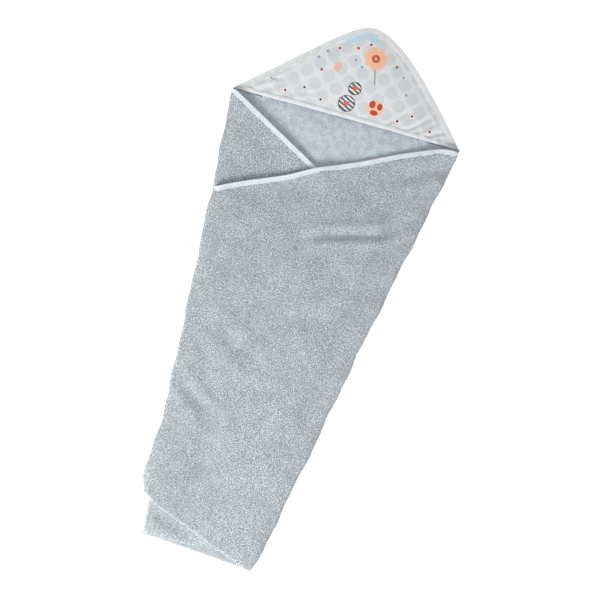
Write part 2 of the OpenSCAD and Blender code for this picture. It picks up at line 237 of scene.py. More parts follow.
def crease(path, depth, width, x, y):
    """A soft valley along a path of points, with a low ridge along each side, which fades out at both ends."""
    fade_share, ridge, ridge_at = 0.38, 0.75, 1.9
    d = np.min([off_segment(a, b, x, y) for a, b in zip(path[:-1], path[1:])], 0) / width
    fade = fade_share * np.linalg.norm(path[-1] - path[0])
    for end in (path[0], path[-1]):
        depth = depth * smooth(np.hypot(x - end[0], y - end[1]), 0, fade)
    return depth * (ridge * np.exp(-((d - ridge_at) ** 2)) - np.exp(-(d**2)))


def crown(a, b, rise, width):
    """A fold's soft edge, which rounds down to the line, and stands a little proud inside it."""
    d = off_line(a, b, PLAN_X, PLAN_Y)
    return rise * smooth(d, 0, width) * np.exp(-((d / (5 * width)) ** 2))


def swell(a, b, rise, width):
    """A soft ridge along the line from a to b, or a valley where the rise is negative."""
    return rise * MM * np.exp(-((off_segment(a, b, PLAN_X, PLAN_Y) / (width * MM)) ** 2))


def uneven(rise, size, seed):
    """The unevenness of one whole layer."""
    return rise * MM * ripple(PLAN_X, PLAN_Y, size, seed)


stack = np.full_like(PLAN_X, CLOTH + 0.1 * MM)


def lay(outline, extra=0.0):
    """Lays one layer on the stack, and gives the height of its middle."""
    global stack
    mid = bridged(stack) + CLOTH / 2 + 0.15 * MM + extra
    stack = np.where(within(outline, PLAN_X, PLAN_Y), mid + CLOTH / 2, stack)
    return mid


turnup_outline = [
    FOOT_LEFT, FOOT_RIGHT, TURNUP_RIGHT, *rounded(TURNUP_RIGHT, TURNUP_TIP, TURNUP_LEFT, CORNER_R), TURNUP_LEFT]
inner_return_outline = [INNER_LOW, INNER_TOP, *rounded(INNER_TOP, INNER_TIP, INNER_LOW, CORNER_R)]
outer_return_outline = [OUTER_LOW, OUTER_TOP, *rounded(OUTER_TOP, OUTER_TIP, OUTER_LOW, CORNER_R)]

turnup_mid = lay(turnup_outline, uneven(0.4, 0.09, 1))
inner_return_mid = lay(inner_return_outline, uneven(0.5, 0.11, 2))
inner_turnup_mid = lay([FOOT_LEFT, INNER_LOW, INNER_SHARE, TURNUP_LEFT])
inner_mid = lay(
    [HOOD_LEFT, INNER_TOP, INNER_LOW, FOOT_LEFT],
    uneven(1.0, 0.10, 3)
    + crown(HOOD_LEFT, FOOT_LEFT, 2.6 * MM, 13 * MM)
    + crown(FOOT_LEFT, INNER_LOW, 2.4 * MM, 11 * MM)
    + swell(HOOD_LEFT, mm(-48, 230), 3.9, 22)
    + swell(OUTER_LOW - mm(-8, 6), FOOT_RIGHT - mm(10, 6), -3.6, 11)
    + 1.2 * MM,
)
outer_return_mid = lay(outer_return_outline, uneven(0.5, 0.12, 4))
outer_turnup_mid = lay([FOOT_RIGHT, OUTER_LOW, TURNUP_RIGHT])

# The creases pressed into the outer flap: their points, depth and width, in millimetres
FLAP_CREASES = (
    (((-46, 60), (-19, 87), (-4, 99), (19, 111), (60, 123), (109, 136), (138, 160), (176, 196)), 5.4, 8),
    (((200, 287), (150, 256), (96, 228)), 4.6, 10),
    (((-165, -180), (-80, -242)), 2.6, 10),
    (((-125, -82), (-45, -130)), 1.8, 12),
    (((-45, -75), (75, -5)), 1.8, 12),
)
outer_mid = lay(
    [HOOD_RIGHT, OUTER_TOP, OUTER_LOW, FOOT_RIGHT],
    uneven(1.6, 0.13, 5)
    + uneven(0.8, 0.055, 6)
    + crown(HOOD_RIGHT, FOOT_RIGHT, 4.0 * MM, 15 * MM)
    + crown(OUTER_TOP, OUTER_LOW, 2.6 * MM, 13 * MM)
    + crown(OUTER_LOW, FOOT_RIGHT, 5.0 * MM, 9 * MM)
    + swell(HOOD_RIGHT, OUTER_TOP, 3.2, 16)
    + 1.5 * MM
    + sum(crease([mm(*p) for p in path], depth * MM, width * MM, PLAN_X, PLAN_Y)
          for path, depth, width in FLAP_CREASES),
)
# Near its fold the flap stays low enough to lie flat on the table when it is opened out
opened_room = 17.4 * MM + 0.08 * off_line(HOOD_RIGHT, FOOT_RIGHT, PLAN_X, PLAN_Y)
outer_mid = -MM * np.log(np.exp(-outer_mid / MM) + np.exp(-opened_room / MM))


# ---------------------------------------------------------------- making meshes
def linked(name, data):
    """A new object in the scene."""
    obj = bpy.data.objects.new(name, data)
    bpy.context.scene.collection.objects.link(obj)
    return obj


def only(obj):
    """Makes the object the one that tools act on."""
    bpy.ops.object.select_all(action="DESELECT")
    obj.select_set(True)
    bpy.context.view_layer.objects.active = obj


def grid_mesh(name, points, flat, closed_across=False, turned_over=False):
    """A cloth mesh from a grid of points, with its place in the flat cloth as its UV map, in metres.

    The side that its faces point to is the towel's outside, with turned_over where the grid runs the other way."""
    cols, rows = points.shape[:2]
    index = np.arange(cols * rows).reshape(cols, rows)
    after = np.roll(index, -1, 1) if closed_across else index[:, 1:]
    here = index if closed_across else index[:, :-1]
    quads = np.stack([here[:-1], here[1:], after[1:], after[:-1]], -1).reshape(-1, 4)
    if turned_over:
        quads = quads[:, ::-1]
    mesh = bpy.data.meshes.new(name)
    mesh.from_pydata(points.reshape(-1, 3).tolist(), [], quads.tolist())
    uv = mesh.uv_layers.new(name="Flat")
    corner = np.zeros(len(mesh.loops), int)
    mesh.loops.foreach_get("vertex_index", corner)
    uv.data.foreach_set("uv", flat.reshape(-1, 2)[corner].astype(np.float32).ravel())
    mesh.update()
    return linked(name, mesh)


def facing_out(obj, capped=False):
    """Turns the faces outward, after closing the open ends where it is to be capped."""
    only(obj)
    bpy.ops.object.mode_set(mode="EDIT")
    bpy.ops.mesh.select_all(action="SELECT")
    if capped:
        bpy.ops.mesh.fill_holes(sides=0)
    bpy.ops.mesh.normals_make_consistent(inside=False)
    bpy.ops.object.mode_set(mode="OBJECT")


def thicken(obj, thickness, sides=1):
    """Gives the cloth its thickness; with two sides, the inside takes the second material."""
    only(obj)
    for _ in range(sides):
        obj.data.materials.append(None)
    wall = obj.modifiers.new("wall", "SOLIDIFY")
    wall.thickness = thickness
    wall.offset = 0
    wall.material_offset = sides - 1
    bpy.ops.object.modifier_apply(modifier=wall.name)
    for vert in obj.data.vertices:
        vert.co.z = max(vert.co.z, 0.0)
    bpy.ops.object.shade_smooth()
    return obj


def loops_of_pile(points, amount=0.28 * MM):
    """The uneven surface that the pile gives."""
    return points + rng.normal(0, amount, points.shape) * np.array([0.8, 0.8, 1.0])


# ---------------------------------------------------------------- the hood's outline
def leg(side, s, inset=0.0, base=0.0):
    """One leg of the hood; side 0 is the left one, and s runs from the front edge to the tip."""
    out, angle = 2 * side - 1, math.radians(LEG_ANGLE[side])
    foot = np.array([out * (HOOD_HALF - inset / math.sin(angle) - base / math.tan(angle)), base])
    top = np.array([HOOD_TIP_X, HOOD_RISE - inset])
    b = foot + LEG_FOOT[side] * MM * np.array([-out * math.cos(angle), math.sin(angle)])
    c = top + np.array([out * LEG_TIP[side] * MM, 0])
    s = np.asarray(s, float)[..., None]
    p = foot * (1 - s) ** 3 + 3 * b * s * (1 - s) ** 2 + 3 * c * s * s * (1 - s) + top * s**3
    return p + np.array([0, HOOD_FOOT_Y])


def hood_outline(steps):
    """Up the left leg and down the right one."""
    return np.concatenate([leg(0, np.linspace(0, 1, steps)), leg(1, np.linspace(1, 0, steps))[1:]])


HOOD_OUTLINE = hood_outline(60)


def hood_top_y(x):
    return np.interp(x, HOOD_OUTLINE[:, 0], HOOD_OUTLINE[:, 1])


# ---------------------------------------------------------------- terry pieces
def cut_by(outline, start, direction):
    """How far along a line it enters and leaves a convex outline."""
    a = np.array(outline)
    b = np.roll(a, -1, 0)
    hits = []
    for p, q in zip(a, b):
        e = q - p
        cross = direction[0] * e[1] - direction[1] * e[0]
        if abs(cross) < 1e-12:
            continue
        d = p - start
        t = (d[0] * e[1] - d[1] * e[0]) / cross
        s = (d[0] * direction[1] - d[1] * direction[0]) / cross
        if -1e-6 <= s <= 1 + 1e-6:
            hits.append(t)
    return (min(hits), max(hits)) if hits else (0.0, 0.0)


def make_centre():
    """The middle of the towel: the turned-up bottom corner, the back and the corner behind the hood."""
    cols, up_rows, roll_rows, back_rows, corner_rows = 112, 62, 9, 210, 40
    left, right = to_middle(FOOT_LEFT, HOOD_LEFT) * LEFT_ROLL, to_middle(FOOT_RIGHT, HOOD_RIGHT) * RIGHT_ROLL
    # the outermost columns reach a little way under the rolled folds
    under = 0.008
    share = np.concatenate([[-under], np.linspace(0, 1, cols - 2), [1 + under]])[:, None]
    low = (FOOT_LEFT + left) * (1 - share) + (FOOT_RIGHT + right) * share
    high = (HOOD_LEFT + left) * (1 - share) + (HOOD_RIGHT + right) * share
    points = np.zeros((cols, up_rows + roll_rows + back_rows + corner_rows, 3))
    flat = np.zeros(points.shape[:2] + (2,))
    for k in range(cols):
        along = unit(high[k] - low[k])
        length = np.linalg.norm(high[k] - low[k])
        rise = max(cut_by(turnup_outline, low[k], along)[1] - TAPE_IN, 4 * MM)
        s_up = ease(rise, HEM_ROLL, up_rows)
        turn = np.linspace(math.pi, 0, roll_rows + 2)[1:-1]
        s_back = ease(HEM_ROLL, length, back_rows)
        s = np.concatenate([s_up, HEM_ROLL * (1 - np.sin(turn)), s_back])
        xy = low[k] + along * s[:, None]
        lift = np.concatenate([np.ones(up_rows), (1 - np.cos(turn)) / 2, np.zeros(back_rows)])
        above = height_at(turnup_mid, xy[:, 0], xy[:, 1])
        z = BACK_MID + lift * (above - BACK_MID)
        x_top = high[k][0] * HOOD_HALF / abs(high[0][0] if high[k][0] < 0 else high[-1][0])
        top = max(hood_top_y(x_top) - HINGE_Y - TAPE_IN, 0.6 * MM)
        y_corner = HINGE_Y + ease(0, top, corner_rows + 1)[1:]
        x_corner = high[k][0] + (x_top - high[k][0]) * smooth(y_corner, HINGE_Y - 2 * MM, HINGE_Y + 6 * MM)
        corner = np.stack([x_corner, y_corner], -1)
        points[k, :, :2] = np.concatenate([xy, corner])
        points[k, :, 2] = np.concatenate([z, np.full(corner_rows, BACK_MID)])
        s_flat = np.concatenate([-s_up - HEM_ROLL, HEM_ROLL * (1 - turn), s_back])
        flat[k] = np.concatenate([low[k] + along * s_flat[:, None], corner])
    # near the hood the cloth reaches out to its full width, and inside the neck it lies in soft waves
    body = slice(up_rows + roll_rows, up_rows + roll_rows + back_rows)
    part = points[:, body]
    wide = 1 + 0.045 * smooth(part[..., 1], 300 * MM, 309 * MM) * smooth(np.abs(part[..., 0]), 0.12, 0.19)
    part[..., 0] = np.clip(part[..., 0] * wide, 0.5 * MM - HOOD_HALF, HOOD_HALF - 0.5 * MM)
    in_neck = smooth(part[..., 1], 0.20, 0.235) * (1 - smooth(part[..., 1], 0.285, 0.302))
    part[..., 2] += 1.6 * MM * ripple(part[..., 0], part[..., 1], 0.07, 11) * in_neck
    return points, flat


def flap_points(fold_low, fold_high, roll, turn_low, turn_top, return_outline, turned_up_to, mids, counts,
                hem_roll, top_edge=None, side_edge=None, hem_bow=None):
    """One side of the towel: its rolled fold, the flap, its hem, and the corner turned under it.

    Columns run up the flap from its hem, and follow each other from the fold out to the turned corner.
    In each column, under is 1 on the rows turned up below the hem, and 0 on the flap itself."""
    corner_hem, hem_gap = 1.5 * MM, 0.8 * MM
    flap_mid, turned_mid, return_mid = mids
    roll_cols, flap_cols, turn_cols, under_cols, up_rows, hem_rows, rows = counts
    fold_out = away_from(fold_low, fold_high, turn_low)
    turn_out = away_from(turn_low, turn_top, fold_low)
    hem_turn = np.linspace(math.pi, 0, hem_rows + 2)[1:-1]
    columns = []

    def ends(share):
        low = (fold_low - fold_out * roll) * (1 - share) + (turn_low - turn_out * TURN_ROLL) * share
        high = (fold_high - fold_out * roll) * (1 - share) + (turn_top - turn_out * TURN_ROLL) * share
        if top_edge is not None:
            high = np.array([high[0], top_edge(high[0])])
        if hem_bow is not None:
            low = low + np.array([0, hem_bow(low[0])])
        return low, high

    def add(low, high, rise, across, theta, kind, w=0.0):
        along, length = unit(high - low), np.linalg.norm(high - low)
        roll_in = hem_roll
        if kind == "under":
            trim = min(TAPE_IN, length * 0.3)
            low, length, roll_in = low + along * trim, length - trim, 1.0 * MM
        rise = float(np.clip(rise - TAPE_IN, roll_in * 1.5, length * 0.9))
        s_up = ease(rise, roll_in * 1.05, up_rows)
        s_hem = roll_in * (1 - np.sin(hem_turn))
        s = np.concatenate([s_up, s_hem, ease(roll_in, length - min(TAPE_IN, length * 0.3), rows)])
        under = np.concatenate([np.ones(up_rows), (1 - np.cos(hem_turn)) / 2, np.zeros(rows)])
        s_flat = np.concatenate([-s_up - roll_in, roll_in * (1 - hem_turn), s[up_rows + hem_rows:]])
        columns.append((low + along * s[:, None], low + along * s_flat[:, None], under, across, theta, kind, w))

    def rise_of(low, high):
        along = unit(high - low)
        e, d = turned_up_to[1] - turned_up_to[0], turned_up_to[0] - low
        return (d[0] * e[1] - d[1] * e[0]) / (along[0] * e[1] - along[1] * e[0])

    low0, high0 = ends(0.0)
    low1, high1 = ends(1.0)
    for theta in np.linspace(0, math.pi, roll_cols, endpoint=False):
        add(low0, high0, rise_of(low0, high0), fold_out, theta, "fold")
    for share in np.linspace(0, 1, flap_cols):
        low, high = ends(share)
        fade = 1 - smooth(share, 0.9, 1.0) if turned_up_to[2] else 1.0
        add(low, high, rise_of(low, high) * fade, fold_out, math.pi, "flap")
    for theta in np.linspace(0, math.pi, turn_cols + 2)[1:-1]:
        add(low1, high1, corner_hem, turn_out, theta, "turn")
    outline = np.array(return_outline)
    depth = float(((turn_low - outline) @ turn_out).max())
    along = unit(turn_top - turn_low)
    for step in np.linspace(0, 1, under_cols):
        w = TURN_ROLL + (depth - TURN_ROLL - 1.0 * MM) * step
        start = turn_low - turn_out * w
        near, far = cut_by(outline, start, along)
        add(start + along * near, start + along * far, corner_hem, turn_out, math.pi, "under", w)
    count = len(columns)
    total = up_rows + hem_rows + rows
    points, flat = np.zeros((count, total, 3)), np.zeros((count, total, 2))
    for k, (xy, uv, under, across, theta, kind, w) in enumerate(columns):
        x, y = xy[:, 0], xy[:, 1]
        if side_edge is not None:
            near_side = smooth(-x, 0.04, 0.165)
            straight = turn_low[0] + (turn_top[0] - turn_low[0]) * (y - turn_low[1]) / (turn_top[1] - turn_low[1])
            x = x + (side_edge(y) - straight) * near_side
        top = height_at(flap_mid, x, y)
        gap = np.maximum(top - height_at(turned_mid, x, y), LAYER_PITCH)
        if kind == "fold":
            tall = (top - BACK_MID) / 2
            inner = np.maximum(tall - under * LAYER_PITCH, 0.3 * MM)
            z = BACK_MID + tall - inner * math.cos(theta)
            shift = roll * math.sin(theta) * inner / tall
            spread = roll * (math.pi - theta)
        elif kind == "flap":
            z = top - under * np.minimum(gap, 2 * LAYER_PITCH)
            shift, spread = 0.0, 0.0
        else:
            below = height_at(return_mid, x, y)
            turn_tall = np.maximum((top - below) / 2, LAYER_PITCH / 2)
            if kind == "turn":
                z = top - turn_tall + turn_tall * math.cos(theta)
                z = z - under * hem_gap * math.cos(theta)
                shift = TURN_ROLL * math.sin(theta)
                spread = TURN_ROLL * theta
            else:
                blend = smooth(w, 0, 30 * MM)
                z = (top - 2 * turn_tall) * (1 - blend) + below * blend + under * hem_gap
                shift, spread = 0.0, 2 * w + (math.pi - 2) * TURN_ROLL
        points[k, :, 0] = x + across[0] * shift
        points[k, :, 1] = y + across[1] * shift
        points[k, :, 2] = z
        flat[k] = uv + across * spread
    return points, flat


def soften_corner(points, corner, toward, amount, reach):
    """Draws a folded corner in, so that it is round."""
    d = np.hypot(points[..., 0] - corner[0], points[..., 1] - corner[1])
    pull = amount * np.exp(-((d / reach) ** 2))
    points[..., 0] += toward[0] * pull
    points[..., 1] += toward[1] * pull


def place(points):
    points[..., 0], points[..., 1] = settle(points[..., 0], points[..., 1])


centre_points, centre_flat = make_centre()
place(centre_points)

# Columns round the fold, over the flap, round the turn and on the turned corner; then rows turned up, round the
# hem and on the flap
INNER_COUNTS = (12, 72, 7, 44, 22, 5, 180)
OUTER_COUNTS = (14, 100, 8, 38, 26, 6, 200)
inner_points, inner_flat = flap_points(
    FOOT_LEFT, HOOD_LEFT - mm(-0.2, 3), LEFT_ROLL, INNER_LOW, INNER_TOP, inner_return_outline,
    (TURNUP_LEFT, INNER_SHARE, True), (inner_mid, inner_turnup_mid, inner_return_mid), INNER_COUNTS, 3.5 * MM,
)
place(inner_points)
outer_points, outer_flat = flap_points(
    FOOT_RIGHT, HOOD_RIGHT - mm(0.5, 2.8), RIGHT_ROLL, OUTER_LOW, OUTER_TOP, outer_return_outline,
    (TURNUP_RIGHT, OUTER_LOW, False), (outer_mid, outer_turnup_mid, outer_return_mid), OUTER_COUNTS, 5 * MM,
    top_edge=outer_edge_y, side_edge=outer_side_x,
    hem_bow=lambda x: np.interp(x, mm(-171, -150, -100, -20, 45), mm(3, 8, 8, 4, 0)),
)
place(outer_points)
soften_corner(outer_points, OUTER_LOW, (0.72, 0.69), 12.5 * MM, 24 * MM)
for points in (outer_points, centre_points):
    soften_corner(points, FOOT_RIGHT + mm(14, 0), (-0.7, 0.7), 4.5 * MM, 12 * MM)
soften_corner(outer_points, OUTER_TOP, (0.9, -0.4), 2 * MM, 12 * MM)

terry_centre = thicken(
    grid_mesh("terry_centre", loops_of_pile(centre_points), centre_flat, turned_over=True), CLOTH, 2)
terry_inner_flap = thicken(grid_mesh("terry_inner_flap", loops_of_pile(inner_points), inner_flat), CLOTH, 2)
terry_outer_flap = thicken(
    grid_mesh("terry_outer_flap", loops_of_pile(outer_points), outer_flat, turned_over=True), CLOTH, 2)


# ---------------------------------------------------------------- bindings and stitches
def sample(at, run, path):
    """A path's points at some distances along it, from the distance of each of its own points."""
    return np.stack([np.interp(at, run, path[:, k]) for k in range(3)], -1)


def evenly(step, *paths):
    """The paths cut at the same even steps along the first one."""
    run = np.concatenate([[0], np.cumsum(np.linalg.norm(np.diff(paths[0], axis=0), axis=1))])
    at = np.linspace(0, run[-1], max(int(run[-1] / step), 4))
    return at, [sample(at, run, p) for p in paths]


def steady(path, rounds):
    """The path with its small jumps smoothed out."""
    for _ in range(rounds):
        path = np.concatenate([path[:1], (path[:-2] + path[1:-1] * 2 + path[2:]) / 4, path[-1:]])
    return path


def edge_frame(edge, inside, step=2.5 * MM, rounds=3):
    """Even points along an edge, with the directions into the cloth and up from it."""
    at, (edge, inside) = evenly(step, edge, inside)
    edge, inside = steady(edge, rounds), steady(inside, rounds)
    along = np.gradient(edge, axis=0)
    along /= np.linalg.norm(along, axis=1)[:, None] + 1e-12
    into = inside - edge
    into -= (into * along).sum(1)[:, None] * along
    into /= np.linalg.norm(into, axis=1)[:, None] + 1e-12
    up = np.cross(along, into)
    if up[len(up) // 2, 2] < 0:
        up = -up
    return at, edge, along, into, up


def binding(name, path, width=TAPE_W, low=-1.9 * MM, high=1.9 * MM, taper=0.0):
    """Tape folded round an edge, with its length and width in metres as its UV map.

    With a taper, the tape narrows to a point over that length at both ends."""
    at, edge, _, into, up = path
    narrow = np.ones(len(at))
    if taper:
        narrow = 0.25 + 0.75 * smooth(at, 0, taper) * smooth(at[-1] - at, 0, taper)
    mid, half = (low + high) / 2, (high - low) / 2
    # half of the tape's section, from its folded edge inward: millimetres in, and share of the half thickness
    upper = [(-0.45, 0.62), (0.35, 0.93), (1.6, 1.0), (width * 0.5, 1.0), (width - 1.2, 0.99),
             (width - 0.25, 0.86), (width, 0.55)]
    section = [(-0.7, 0.0), *upper, *((a, -b) for a, b in reversed(upper))]
    points = np.zeros((len(edge), len(section), 3))
    flat = np.zeros((len(edge), len(section), 2))
    sag = 0.12 * MM * np.sin(at / (7 * MM)) + 0.10 * MM * np.sin(at / (2.9 * MM) + 1)
    for k, (a, b) in enumerate(section):
        inner_waver = sag * (0.6 if a > 5 else 0.3)
        points[:, k] = edge + into * (narrow * (a * MM + inner_waver))[:, None] + up * (mid + b * half)
        flat[:, k, 0] = at
        flat[:, k, 1] = a * MM
    obj = grid_mesh(name, points, flat, closed_across=True)
    facing_out(obj, capped=True)
    bpy.ops.object.shade_smooth_by_angle(angle=math.radians(60))
    return obj


def stitches(name, path, inset, lift, length=2.1 * MM, wide=0.55 * MM):
    """A row of separate stitches, each one a low rounded bead."""
    at, pitch = path[0], STITCH_PITCH * MM
    spots = np.arange(pitch, at[-1] - pitch / 2, pitch)
    row, run, across, top = (sample(spots, at, p) for p in path[1:])
    middle = row + across * (inset * MM) + top * lift
    ring = [(-0.5, 0, 0), (-0.22, -0.5, 0.35), (0.22, -0.5, 0.35), (0.5, 0, 0), (0.22, 0.5, 0.35),
            (-0.22, 0.5, 0.35), (-0.2, 0, 0.8), (0.2, 0, 0.8)]
    faces = [(0, 1, 6), (1, 2, 7, 6), (2, 3, 7), (3, 4, 7), (4, 5, 6, 7), (5, 0, 6), (0, 5, 4, 3, 2, 1)]
    verts, polys = [], []
    for k in range(len(spots)):
        base = len(verts)
        for a, b, c in ring:
            spot = middle[k] + run[k] * a * length + across[k] * b * wide + top[k] * c * 0.5 * wide
            verts.append(spot.tolist())
        polys += [tuple(base + v for v in face) for face in faces]
    mesh = bpy.data.meshes.new(name)
    mesh.from_pydata(verts, [], polys)
    obj = linked(name, mesh)
    facing_out(obj)
    bpy.ops.object.shade_smooth()
    return obj


def beyond(last, before):
    """The true edge, which lies past the end of the terry."""
    away = last - before
    return last + away / (np.linalg.norm(away, axis=-1, keepdims=True) + 1e-9) * TAPE_IN


def flap_edges(points, counts):
    """The bound edges of a flap: its top edge, the turned corner's two edges, and the turned-up edge.

    Each comes with a line of points that lies a few rows inside it."""
    roll_cols, flap_cols, turn_cols, _, up_rows, hem_rows, rows = counts
    last_flap = roll_cols + flap_cols
    first_under = last_flap + turn_cols
    bottom = up_rows + hem_rows
    step = 4
    top_in = points[:first_under, -1 - step]
    turned, turned_in = points[: last_flap - 1, 0], points[: last_flap - 1, step - 1]
    under = points[first_under:]
    end = under[-1, bottom:][::-1]
    middle = (under[-1, bottom] + under[-1, -1]) / 2
    toward = (under[0, bottom + rows // 2] - middle) * 0.05
    top_end = beyond(under[:, -1], under[:, -1 - step])
    low_end = beyond(under[:, bottom], under[:, bottom + step])[::-1]
    corner_edge = np.concatenate([top_end, end[1:-1], low_end])
    corner_in = np.concatenate([under[:, -1 - step], end[1:-1] + toward, under[::-1, bottom + step]])
    return (beyond(points[:first_under, -1], top_in), top_in), (corner_edge, corner_in), (
        beyond(turned, turned_in), turned_in)


inner_top, inner_corner, inner_turned = flap_edges(inner_points, INNER_COUNTS)
outer_top, outer_corner, outer_turned = flap_edges(outer_points, OUTER_COUNTS)
inner_top_path = edge_frame(*inner_top)
outer_top_path = edge_frame(*outer_top)
inner_flap_tape = binding("inner_flap_tape", inner_top_path)
outer_flap_tape = binding("outer_flap_tape", outer_top_path)
inner_corner_tape = binding("inner_corner_tape", edge_frame(*inner_corner, rounds=10))
outer_corner_tape = binding("outer_corner_tape", edge_frame(*outer_corner, rounds=10))
inner_turnup_tape = binding("inner_turnup_tape", edge_frame(*inner_turned))
outer_turnup_tape = binding("outer_turnup_tape", edge_frame(*outer_turned))
turnup_in = centre_points[:, 3]
turnup_tape = binding("turnup_tape", edge_frame(beyond(centre_points[:, 0], turnup_in), turnup_in, rounds=8))
inner_flap_thread = stitches("inner_flap_thread", inner_top_path, SEAM_IN, 1.75 * MM)
outer_flap_thread = stitches("outer_flap_thread", outer_top_path, SEAM_IN, 1.75 * MM)


# ---------------------------------------------------------------- the hood
# Small creases that fan out from the hood's right corner, and two faint ones on the left: their ends and their
# depth, in millimetres
HOOD_CREASES = (
    (66, 314, 97, 352, 1.7), (92, 311, 137, 348, 2.0), (113, 311, 156, 352, 2.1), (134, 312, 172, 339, 1.8),
    (146, 311, 187, 331, 1.8), (160, 312, 190, 321, 1.2), (-156, 334, -114, 355, 1.0), (-102, 328, -54, 340, 0.6),
)


def hood_surface(u, s):
    """The printed panel: u runs from leg to leg, s from the front edge to the tip."""
    left, right = leg(0, s, 0.8 * MM, 0.5 * MM), leg(1, s, 0.8 * MM, 0.5 * MM)
    p = left * (1 - u[..., None]) / 2 + right * (1 + u[..., None]) / 2
    half_w = (right - left)[..., 0] / 2
    rim = np.clip(1 - 16 * MM / np.maximum(half_w, 1 * MM), 0.06, 1)
    lift = MOUTH_LIFT * np.clip(1 - (u / rim) ** 2, 0, 1) * np.clip(1 - (s / 0.74) ** 2, 0, 1)
    x, y = p[..., 0], p[..., 1]
    z = PANEL_Z + 0.85 * lift
    free = smooth(1 - np.abs(u), 0.02, 0.14) * (1 - smooth(s, 0.72, 0.86))
    for x1, y1, x2, y2, depth in HOOD_CREASES:
        z = z + free * crease([mm(x1, y1), mm(x2, y2)], depth * MM, 3.3 * MM, x, y)
    on_left, pitch = smooth(-x, 0.10, 0.15), 17 * MM
    z = z + 0.5 * MM * free * on_left * np.sin(((y - HOOD_FOOT_Y) * 0.7 - x * 0.5) * 2 * math.pi / pitch)
    z = z + 1.6 * MM * free * (ripple(x, y, 0.06, 21) - 0.3)
    return np.stack([x, y, z], -1)


u_grid, s_grid = np.meshgrid(np.linspace(-1, 1, 230), np.linspace(0, 0.985, 100), indexing="ij")
hood_points = hood_surface(u_grid, s_grid)
hood_flat = hood_points[..., :2] - np.array([0, HINGE_Y])
printed_panel = thicken(grid_mesh("printed_panel", hood_points, hood_flat), PANEL_THICK)

front_u = np.linspace(-0.985, 0.985, 220)
front = hood_surface(front_u, np.zeros_like(front_u))
front_in = hood_surface(front_u, np.full_like(front_u, 0.03))
front_path = edge_frame(front, front_in, step=2.2 * MM)
hood_front_tape = binding("hood_front_tape", front_path, FRONT_TAPE_W, -1.0 * MM, 1.0 * MM, taper=16 * MM)
hood_front_thread = stitches("hood_front_thread", front_path, FRONT_SEAM_IN, 0.95 * MM)

rim = hood_outline(120)
rim = np.column_stack([rim, np.full(len(rim), RIM_Z)])
inward = np.array([HOOD_TIP_X, HINGE_Y + 20 * MM, RIM_Z]) - rim
rim_path = edge_frame(rim, rim + inward * 0.1)
hood_edge_tape = binding("hood_edge_tape", rim_path, TAPE_W, -2.15 * MM, 2.05 * MM, taper=22 * MM)
hood_edge_thread = stitches("hood_edge_thread", rim_path, SEAM_IN, 2.0 * MM)


# ---------------------------------------------------------------- materials
def sums(operation, swapped=False):
    """A method that works a number out, from itself and from the other value where there is one."""
    def method(self, *other):
        return self.math(operation, *((*other, self) if swapped else (self, *other)))
    return method


class Number:
    """A number in a material, with ordinary arithmetic."""

    def __init__(self, paint, socket):
        self.paint, self.socket = paint, socket

    def math(self, operation, *values):
        return self.paint.node("ShaderNodeMath", {"operation": operation}, dict(enumerate(values))).number()

    __add__, __radd__ = sums("ADD"), sums("ADD", True)
    __sub__, __rsub__ = sums("SUBTRACT"), sums("SUBTRACT", True)
    __mul__, __rmul__ = sums("MULTIPLY"), sums("MULTIPLY", True)
    __truediv__ = sums("DIVIDE")
    least, most = sums("MINIMUM"), sums("MAXIMUM")
    wave, size, root = sums("SINE"), sums("ABSOLUTE"), sums("SQRT")
    # what is left of the number after its whole part
    part = sums("FRACT")

    def step(self, low, high):
        """0 at low and 1 at high, with an easy slope between them."""
        return self.paint.node(
            "ShaderNodeMapRange", {"interpolation_type": "SMOOTHSTEP"},
            {"Value": self, "From Min": low, "From Max": high},
        ).number()


class Made:
    """One node, with its outputs by name."""

    def __init__(self, paint, node):
        self.paint, self.made = paint, node

    def number(self, name=0):
        return Number(self.paint, self.made.outputs[name])

    def link(self, name=0):
        return self.made.outputs[name]


class Paint:
    """A material and its nodes."""

    def __init__(self, name):
        self.material = bpy.data.materials.new(name)
        self.material.use_nodes = True
        self.tree = self.material.node_tree
        self.surface = next(n for n in self.tree.nodes if n.type == "BSDF_PRINCIPLED")

    def node(self, kind, settings=None, values=None):
        made = self.tree.nodes.new(kind)
        for key, value in (settings or {}).items():
            setattr(made, key, value)
        for key, value in (values or {}).items():
            self.feed(made.inputs[key], value)
        return Made(self, made)

    def feed(self, socket, value):
        if isinstance(value, Number):
            value = value.socket
        if isinstance(value, bpy.types.NodeSocket):
            self.tree.links.new(value, socket)
        else:
            socket.default_value = value

    def set(self, **values):
        """Sets the finish; an input's name is written with _ for its spaces."""
        for key, value in values.items():
            self.feed(self.surface.inputs[key.replace("_", " ")], value)

    def flat(self):
        return self.node("ShaderNodeUVMap", {"uv_map": "Flat"}).link()

    def across(self, vector):
        split = self.node("ShaderNodeSeparateXYZ", None, {0: vector})
        return split.number("X"), split.number("Y")

    def turned(self, vector, angle, size, shift=(0.0, 0.0, 0.0)):
        """The vector in units of the given size, on axes turned by the angle."""
        return self.node(
            "ShaderNodeMapping", {"vector_type": "TEXTURE"},
            {"Vector": vector, "Rotation": (0, 0, angle), "Scale": size, "Location": shift},
        ).link()

    def noise(self, vector, scale=1.0, detail=1.0, distortion=0.0, roughness=0.5):
        return self.node(
            "ShaderNodeTexNoise", {"noise_dimensions": "2D"},
            {"Vector": vector, "Scale": scale, "Detail": detail, "Distortion": distortion, "Roughness": roughness},
        ).number(0)

    def mix(self, share, first, second):
        made = self.tree.nodes.new("ShaderNodeMix")
        made.data_type = "RGBA"
        self.feed(made.inputs[0], share)
        self.feed(made.inputs[6], first)
        self.feed(made.inputs[7], second)
        return made.outputs[2]

    def bump(self, height, distance, strength=1.0):
        return self.node(
            "ShaderNodeBump", None, {"Height": height, "Distance": distance, "Strength": strength}
        ).link("Normal")


